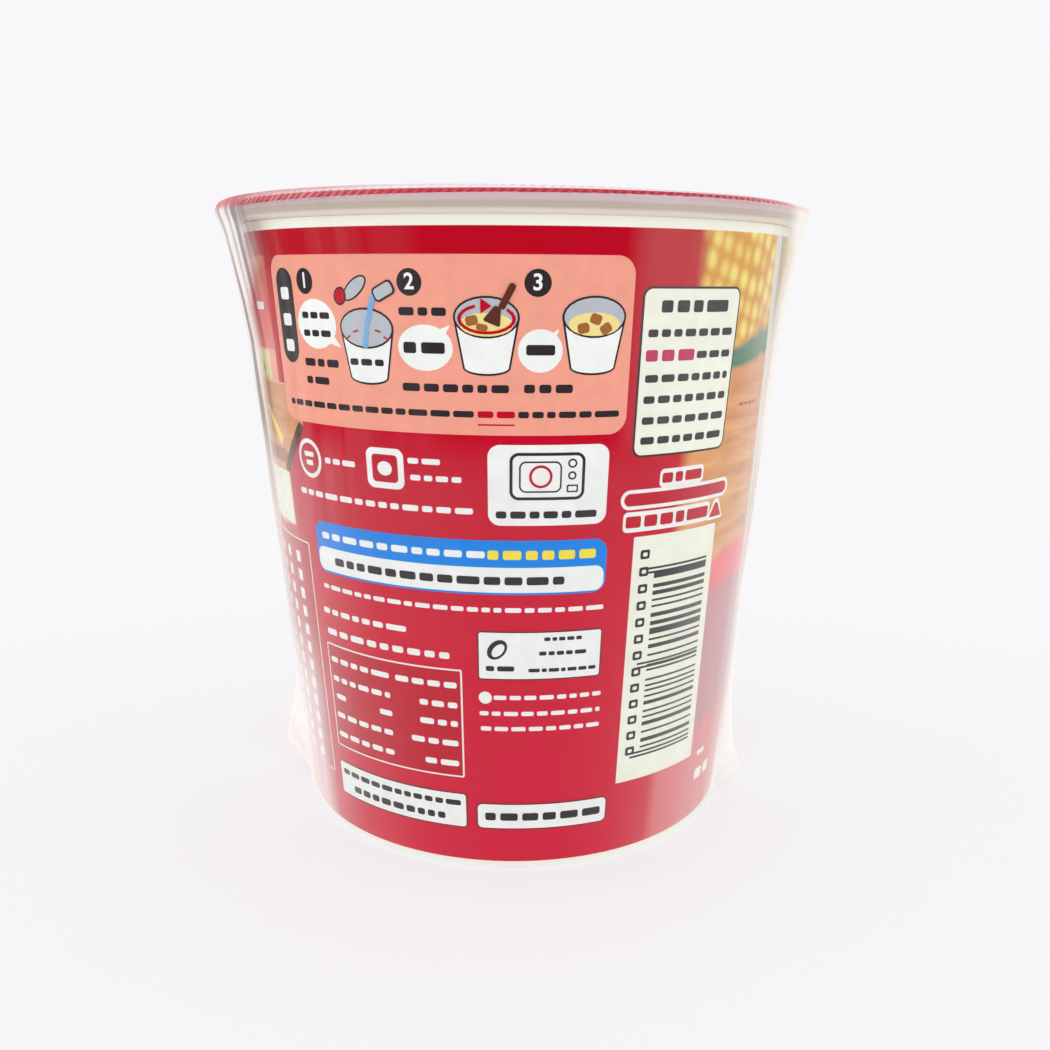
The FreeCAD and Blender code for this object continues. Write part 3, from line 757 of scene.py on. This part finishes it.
def print_care():
    """The ivory panel, the fill-line mark and the bar code label."""
    framed_panel("ivory", 1, 22.7, 47.1, 59.7, 81.3, 1.4, 0.28)
    ink_dashes("black", 3, 26.7, 43.3, 77.5, 80.2, 0.56, 0.9)
    for low in (74.5, 68.8, 66.1, 63.4, 60.8):
        ink_dashes("black", 3, 24.3, 45.4, low, low + 2.1, 0.46, 1.0)
    ink_dashes("rose", 3, 24.1, 35.2, 71.5, 74.0, 0.58, 0.9)
    ink_dashes("black", 3, 35.9, 45.4, 71.7, 73.7, 0.46, 1.0)

    outlined_dashes(30.2, 40.9, 55.5, 57.8)
    ink_panel("white", 1, 21.0, 51.1, 52.7, 55.4, 1.34)
    ink_panel("red", 2, 21.75, 50.3, 53.2, 54.9, 0.84)
    outlined_dashes(22.4, 44.4, 49.7, 52.3)
    ink_shape("white", 1, 47.4, 51.0, 4.0, 3.0, 0.5, 0.25)
    ink_shape("red", 2, 47.4, 50.9, 3.0, 2.0, 0.3, 0.2)

    label_left = 24.6
    label_wide = 15.5
    label_low, label_high = 12.1, 48.9
    slab = shaped_slab(1, label_wide, label_high - label_low, 0.15, 1.0, 0)
    for point in slab.vertices:
        height = point.co.y + (label_low + label_high) / 2
        across = (point.co.x + label_wide / 2) / wall_radius(height)
        point.co.x = (math.radians(label_left) + across) * SHEET_RADIUS
        point.co.y = height
    keep_shape(sleeve_shapes, "ivory", slab)
    widths = random.Random(5)
    height = 43.6
    while height > 16.6:
        thick = widths.choice((0.3, 0.3, 0.55, 0.6, 0.9))
        radius = wall_radius(height)
        wide = 10.3
        middle = math.radians(label_left) + (3.7 + wide / 2) / radius
        ink_shape("black", 2, math.degrees(middle), height - thick / 2, wide, thick, 0.05)
        height -= thick + widths.choice((0.45, 0.6, 0.85, 1.2))
    for guard in (44.2, 43.6, 30.3, 29.7, 16.4, 15.8):
        radius = wall_radius(guard)
        middle = math.radians(label_left) + (2.0 + 6.0) / radius
        ink_shape("black", 2, math.degrees(middle), guard, 12.0, 0.3, 0.05)
    for row in range(13):
        height = 46.3 - row * 2.45
        radius = wall_radius(height)
        middle = math.degrees(math.radians(label_left) + 1.95 / radius)
        ink_shape("black", 2, middle, height, 1.5, 1.3, 0.3)
        ink_shape("ivory", 3, middle, height, 0.7, 0.55, 0.2)


def print_front():
    """The hidden front: a bowl of corn soup with toast, and a bare cream oval for a name."""
    front = 180
    ink_shape("white", 1, front, 66, 56, 22)
    ink_shape("red", 2, front, 66, 53.5, 19.5)
    ink_shape("ivory", 3, front, 66, 51.5, 17.5)
    ink_shape("white", 1, front, 24, 60, 26, 9, 1.35)
    ink_shape("grey", 2, front, 15, 34, 5)
    ink_shape("white", 3, front, 17, 40, 8)
    ink_shape("white", 3, front, 37, 66, 19)
    ink_shape("crust", 4, front, 37, 61, 16)
    ink_shape("soup", 5, front, 36.7, 60, 15)
    scatter = random.Random(3)
    for toast in range(9):
        angle = front + (toast - 4) * 8.5
        height = 37 + (2.6 if toast % 2 else -2.2)
        turn = scatter.uniform(-30, 30)
        ink_shape("brown", 6, angle, height, 5.2, 3.8, 0.9, 0.9, turn)
        ink_shape("crust", 7, angle, height + 0.35, 4.6, 2.8, 0.8, 0.9, turn)
    for kernel in range(26):
        angle = front + scatter.uniform(-38, 38)
        height = 36.8 + scatter.uniform(-5.2, 5.2) * (1 - abs(angle - front) / 60)
        ink_shape("yellow", 6, angle, height, 2.2, 1.6, None, 0.8, scatter.uniform(0, 180))
    for _ in range(12):
        angle = front + scatter.uniform(-36, 36)
        height = 36.8 + scatter.uniform(-4.6, 4.6) * (1 - abs(angle - front) / 60)
        ink_shape("leaf", 8, angle, height, 1.3, 0.8, None, 1.0, scatter.uniform(0, 180))
    for side in (-1, 1):
        for steam in range(3):
            ink_shape("white", 1, front + side * (50 - steam * 7), 50 + steam * 2, 1.2, 7, 0.55, 1.0, side * 14)


def print_right():
    """Small plain lines beside the bar code and on the wooden board."""
    ink_dashes("crust", 1, 52.0, 61.5, 64.7, 66.1, 0.33, 0.9)
    ink_dashes("white", 1, 53.4, 57.4, 10.8, 12.6, 0.45, 0.9)
    ink_dashes("white", 1, 53.4, 62.0, 6.4, 9.6, 0.55, 0.9)


def print_left():
    """What shows at the left edge: pale marks, a cream patch, and a tall thin frame with its lines."""
    ink_panel("ivory", 1, -78, -57.4, 47.2, 55.0, 0.3)
    ink_panel("crust", 1, -80, -57.2, 56.2, 58.2, 0.9)
    ink_shape("yellow", 2, -61.4, 60.7, 1.3, 3.6, 0.6, 0.6, 50)
    ink_dashes("white", 1, -66.0, -60.5, 76.8, 79.6, 0.38, 0.9)
    ink_panel("salmon", 1, -60.7, -56.9, 67.9, 72.2, 0.1)
    ink_shape("leaf", 1, -66.5, 69.6, 0.7, 1.6, None, 0.5, 20)
    ink_shape("soup", 1, -63.5, 61.7, 1.9, 7.8, 0.6, 0.35, 52)
    ink_shape("brown", 1, -53.7, 58.75, 1.35, 9.9, 0.5, 1.0, -42)
    framed_panel("red", 1, -82.0, -51.5, 9.0, 45.2, 0.3, 0.22, "white")
    for column in range(3):
        angle = -58.0 - column * 6.5
        for row in range(12):
            ink_shape("white", 3, angle, 42.3 - row * 2.85, 1.5, 1.7, 0.3)


def wrap_on_sleeve(sheet):
    """Cuts a flat sheet of ink along every second degree, then wraps it on the cone."""
    bpy.ops.object.mode_set(mode="EDIT")
    lowest = min(point.co.x for point in sheet.data.vertices)
    highest = max(point.co.x for point in sheet.data.vertices)
    first = math.floor(math.degrees(lowest / SHEET_RADIUS) / WRAP_STEP)
    last = math.ceil(math.degrees(highest / SHEET_RADIUS) / WRAP_STEP)
    for step in range(first, last + 1):
        cut = math.radians(step * WRAP_STEP) * SHEET_RADIUS
        bpy.ops.mesh.select_all(action="SELECT")
        bpy.ops.mesh.bisect(plane_co=(cut, 0, 0), plane_no=(1, 0, 0))
    bpy.ops.object.mode_set(mode="OBJECT")
    for point in sheet.data.vertices:
        angle = point.co.x / SHEET_RADIUS
        radius = wall_radius(point.co.y) + point.co.z
        point.co = Vector((radius * math.sin(angle), -radius * math.cos(angle), point.co.y)) * MM


def lay_on_lid(sheet):
    for point in sheet.data.vertices:
        point.co = Vector((point.co.x, point.co.y, LID_TOP + point.co.z)) * MM


def join_inks(store, prefix, lay):
    """Joins the shapes of each ink into one piece, lays it in its place and gives it its material."""
    for ink, shapes in store.items():
        if not shapes:
            continue
        bpy.ops.object.select_all(action="DESELECT")
        for shape in shapes:
            shape.select_set(True)
        bpy.context.view_layer.objects.active = shapes[0]
        bpy.ops.object.join()
        piece = bpy.context.object
        piece.name = f"{prefix}_{ink}"
        lay(piece)
        piece.data.materials.clear()
        piece.data.materials.append(ink_materials[ink])
        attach(piece, "root")
        bpy.ops.object.select_all(action="DESELECT")


def print_lid():
    """The lid's print: a cream ring, a bowl and a bare band."""

    def lid_shape(ink, layer, across, up, wide, high, corner=None, taper=1.0, turn=0.0):
        mesh = shaped_slab(layer, wide, high, corner, taper, turn)
        for point in mesh.vertices:
            point.co.x += across
            point.co.y += up
        keep_shape(lid_shapes, ink, mesh)

    lid_shape("ivory", 1, -0.45, 0, 76, 76)
    lid_shape("red", 2, -0.45, 0, 74.4, 74.4)
    lid_shape("ivory", 3, 0, 17, 50, 15)
    lid_shape("white", 3, 0, -17, 40, 15, 5, 1.4)
    lid_shape("white", 4, 0, -10, 50, 15)
    lid_shape("soup", 5, 0, -10.3, 45, 11.5)
    scatter = random.Random(8)
    for toast in range(6):
        across = (toast - 2.5) * 6.5
        up = -10 + (1.8 if toast % 2 else -1.8)
        lid_shape("crust", 6, across, up, 4, 3, 0.7, 1.0, scatter.uniform(-30, 30))


ink_materials = {ink: offset_ink(f"offset_ink_{ink}", code) for ink, code in INKS.items()}
print_steps()
print_marks()
print_contents()
print_care()
print_left()
print_right()
print_front()
print_lid()
join_inks(sleeve_shapes, "print", wrap_on_sleeve)
join_inks(lid_shapes, "lid_print", lay_on_lid)
for disc in (DISC, WIDE_DISC):
    bpy.data.objects.remove(disc)


# ---------------------------------------------------------------- shrink film

FILM_WALL = 0.2
FILM_STEPS = 600
TOUCH_HEIGHT = 73.0
ROLL_RADIUS, ROLL_HEIGHT = 41.7, 90.8
SHOULDER = 1.8
# The film's foot bends up within this distance of its outer edge.
FOOT_BEND = 1.6

# How far the film stands out beyond its tight shape at its gathered sides, by height.
LEFT_SWELL = (
    (0, 0.3), (8, 0.45), (16, 0.5), (22, 0.45), (29, 0.5), (38, 0.56), (47, 0.8), (61, 0.9), (73, 1.0),
    (79, 0.75), (83.5, 0.85), (88, 0.85), (90, 1.1), (91.3, 1.6), (92.2, 1.7), (92.6, 1.7),
)
RIGHT_SWELL = (
    (0, 0.4), (8, 0.65), (15, 0.8), (25, 0.75), (40, 0.42), (50, 0.25), (61, 0.4), (72, 0.4), (79, -0.2),
    (86, -0.35), (89.6, -0.2), (90.8, 0.4), (92.6, 0.1),
)
# The pointed ears at the foot, over and above the swell.
LEFT_EAR = (
    (0, 0.5), (1.6, 1.8), (2.8, 3.0), (4, 4.1), (5, 4.5), (5.7, 4.55), (6.8, 4.5), (9, 3.45), (11, 2.5),
    (13.5, 1.8), (16, 1.3), (20, 0.55), (24, 0.15), (28, 0),
)
RIGHT_EAR = (
    (0, 1.0), (0.9, 2.7), (2.3, 3.75), (4.5, 2.9), (6.8, 2.0), (9, 1.5), (11.3, 1.05), (15.8, 0.5), (20, 0.35),
    (25, 0.2), (32, 0.1), (38, 0),
)
# A short pointed ear at the right of the rim.
RIM_EAR = ((91.0, 0), (91.6, 0.3), (92.1, 0.75), (92.4, 1.3), (92.6, 1.7))


def film_profile():
    """The film's tight outline as (radius, height), from the middle of its foot to the middle of its top."""
    corner = 1.2
    outline = [(radius, 0) for radius in (0, 5, 10, 15, 20, 25, 28, 30, 31.5)]
    across = FOOT_RADIUS + FILM_WALL - corner
    for step in range(7):
        turn = math.radians(-90 + step * 15)
        outline.append((across + corner * math.cos(turn), corner + corner * math.sin(turn)))
    heights = [1.8 + 0.8 * step for step in range(38)] + [32 + 2 * step for step in range(21)]
    outline += [(wall_radius(height) + FILM_WALL, height) for height in heights]
    touch_radius = wall_radius(TOUCH_HEIGHT) + FILM_WALL
    away, above = ROLL_RADIUS - touch_radius, ROLL_HEIGHT - TOUCH_HEIGHT
    slope = math.atan2(above, away) - math.asin(SHOULDER / math.hypot(away, above))
    start = slope - math.pi / 2
    end_radius = ROLL_RADIUS + SHOULDER * math.cos(start)
    end_height = ROLL_HEIGHT + SHOULDER * math.sin(start)
    for step in range(30):
        share = step / 30
        outline.append(
            (touch_radius + (end_radius - touch_radius) * share, TOUCH_HEIGHT + (end_height - TOUCH_HEIGHT) * share)
        )
    for step in range(13):
        turn = start + (math.pi / 2 - start) * step / 12
        outline.append((ROLL_RADIUS + SHOULDER * math.cos(turn), ROLL_HEIGHT + SHOULDER * math.sin(turn)))
    top = ROLL_HEIGHT + SHOULDER
    outline += [(radius, top) for radius in (41, 40.2, 39, 37, 34, 30, 25, 20, 15, 10, 5, 0)]
    return outline


def side_bulge(angle, height):
    """How far the film stands out at an angle and height: the soft swell, the ears and the gathers."""
    bulge = 0
    for side, swell in ((-90, LEFT_SWELL), (90, RIGHT_SWELL)):
        away = abs((angle - side + 180) % 360 - 180)
        bulge += read_off(swell, height) * math.exp(-((away / 30) ** 2))
        # Long folds that run down the upper side.
        folds = noise.noise(Vector((angle * 0.33, height * 0.035, 4)))
        bulge += 0.28 * abs(folds) * smooth(away, 34, 14) * smooth(height, 38, 58) * smooth(height, 92.6, 89)
    for middle, ear, spread in ((-90, LEFT_EAR, 15), (81, RIGHT_EAR, 15), (79, RIM_EAR, 11)):
        away = abs((angle - middle + 180) % 360 - 180)
        point = read_off(ear, height) if height >= ear[0][0] else 0
        reach = spread - 1.3 * point
        if away < reach:
            bulge += point * (1 - away / reach) ** 1.25
    gathers = math.sin(math.radians(angle * 360 / 3.4 + height * 360 / 9))
    uneven = 0.6 + 0.8 * noise.noise(Vector((angle * 0.12, height * 0.1, 9)))
    here = smooth(angle, -18, -40) * smooth(angle, -96, -80)
    bulge += 0.1 * (1 + gathers) * uneven * here * smooth(height, 84, 90) * smooth(height, 93, 91.8)
    return max(-0.5, bulge)


def rim_lift(across, height):
    """The film's top stands a little higher towards the left, where it is gathered, and lower at the right."""
    return (0.3 * smooth(across, 25, -25) - 0.1 * smooth(across, 10, 40)) * smooth(height, 91, 92.2)


def make_film():
    """A profile drawn point by point, spun round the axis, then drawn out at its gathered sides."""
    outline = film_profile()
    bpy.ops.mesh.primitive_plane_add(size=MM, location=(0, 0, 0))
    film = bpy.context.object
    film.name = "shrink_film"
    bpy.ops.object.mode_set(mode="EDIT")
    bpy.ops.mesh.select_all(action="SELECT")
    bpy.ops.mesh.merge(type="CENTER")
    for (radius, height), (next_radius, next_height) in zip(outline, outline[1:]):
        move = ((next_radius - radius) * MM, 0, (next_height - height) * MM)
        bpy.ops.mesh.extrude_region_move(TRANSFORM_OT_translate={"value": move})
    bpy.ops.mesh.select_all(action="SELECT")
    bpy.ops.mesh.spin(steps=FILM_STEPS, angle=FULL_TURN, center=(0, 0, 0), axis=(0, 0, 1))
    bpy.ops.mesh.select_all(action="SELECT")
    bpy.ops.mesh.remove_doubles(threshold=0.002 * MM)
    bpy.ops.mesh.normals_make_consistent(inside=False)
    bpy.ops.object.mode_set(mode="OBJECT")
    for point in film.data.vertices:
        across, toward, height = point.co.x / MM, point.co.y / MM, point.co.z / MM
        radius = math.hypot(across, toward)
        if radius < FOOT_RADIUS - FOOT_BEND:
            continue
        angle = math.degrees(math.atan2(across, -toward))
        share = smooth(radius, FOOT_RADIUS - FOOT_BEND, FOOT_RADIUS) if height < 10 else smooth(radius, 38, 43)
        if 10 < height < LID_TOP - 2:
            share = 1
        grown = 1 + side_bulge(angle, height) * share / radius
        point.co.x *= grown
        point.co.y *= grown
        point.co.z += rim_lift(across, height) * MM
    bpy.ops.object.shade_smooth()
    film.data.materials.append(film_material)
    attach(film, "root")
    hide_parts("film")
    bpy.ops.object.select_all(action="DESELECT")
    return film


film_material = shrink_film()
make_film()

for node, material in (("cup", cup_paper()), ("sleeve", sleeve_print()), ("lid", lid_laminate())):
    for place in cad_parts[node].material_slots:
        place.material = material


# ---------------------------------------------------------------- floor, light and camera

STUDIO_WHITE = (0.94, 0.935, 0.955, 1)
CARD_WHITE = (0.91, 0.907, 0.925, 1)


def studio_floor():
    """Matt white studio card, lit a little from below: it keeps the cup's shadow, and runs out into the white."""
    material, add = new_material("white_studio_card")
    place = add("TexCoord").outputs["Object"]
    away = add("VectorMath", {0: place}, operation="LENGTH").outputs["Value"]
    fade = add("MapRange", {"Value": away}, span=(0.06, 0.3, 0.62, 1), interpolation_type="SMOOTHSTEP")
    card = add("BsdfDiffuse", {"Color": CARD_WHITE})
    glow = add("Emission", {"Color": STUDIO_WHITE})
    surface = add("MixShader", {0: fade, 1: card, 2: glow})
    add("OutputMaterial", {"Surface": surface})
    bpy.ops.mesh.primitive_plane_add(size=12, location=(0, 0, 0))
    floor = bpy.context.object
    floor.name = "studio_floor"
    floor.data.materials.append(material)
    bpy.ops.object.select_all(action="DESELECT")


def studio_world():
    """Even white light all round, a little brighter from both sides, on a plain white backdrop."""
    world = bpy.data.worlds.new("studio_world")
    bpy.context.scene.world = world
    world.use_nodes = True
    world.node_tree.nodes.clear()
    add = partial(add_node, world.node_tree)
    direction = add("TexCoord").outputs["Generated"]
    axes = add("SeparateXYZ", {0: direction})
    aside = add("Math", {0: axes.outputs[0]}, operation="ABSOLUTE")
    window = add("MapRange", {"Value": aside}, span=(0.7, 0.8, 0.96, 1.62))
    rays = add("LightPath")
    seen = rays.outputs["Is Camera Ray"]
    for ray in ("Is Glossy Ray", "Is Transmission Ray"):
        seen = add("Math", {0: seen, 1: rays.outputs[ray]}, operation="MAXIMUM")
    window_light = add("Background", {"Color": (1, 0.995, 0.99, 1), "Strength": window})
    backdrop = add("Background", {"Color": STUDIO_WHITE, "Strength": 1})
    light = add("MixShader", {0: seen, 1: window_light, 2: backdrop})
    add("OutputWorld", {"Surface": light})


def studio_camera():
    """The camera stands close, a little below the rim's level, and looks slightly down."""
    place = Vector((0, -170.37, 81.86)) * MM
    pitch, yaw, roll = (math.radians(value) for value in (12.9936, 0.5566, 0.4266))
    ahead = Vector((math.sin(yaw) * math.cos(pitch), math.cos(yaw) * math.cos(pitch), -math.sin(pitch)))
    right = Vector((math.cos(yaw), -math.sin(yaw), 0))
    up = right.cross(ahead)
    turned_right = right * math.cos(roll) + up * math.sin(roll)
    turned_up = up * math.cos(roll) - right * math.sin(roll)
    data = bpy.data.cameras.new("studio_camera")
    data.lens, data.sensor_width = 36.317, 36
    data.clip_start, data.clip_end = 0.01, 50
    camera = bpy.data.objects.new("studio_camera", data)
    bpy.context.collection.objects.link(camera)
    axes = Matrix((turned_right, turned_up, -ahead)).transposed().to_4x4()
    camera.matrix_world = Matrix.Translation(place) @ axes
    bpy.context.scene.camera = camera


studio_floor()
studio_world()
studio_camera()

view = bpy.context.scene.view_settings
view.view_transform = "Standard"
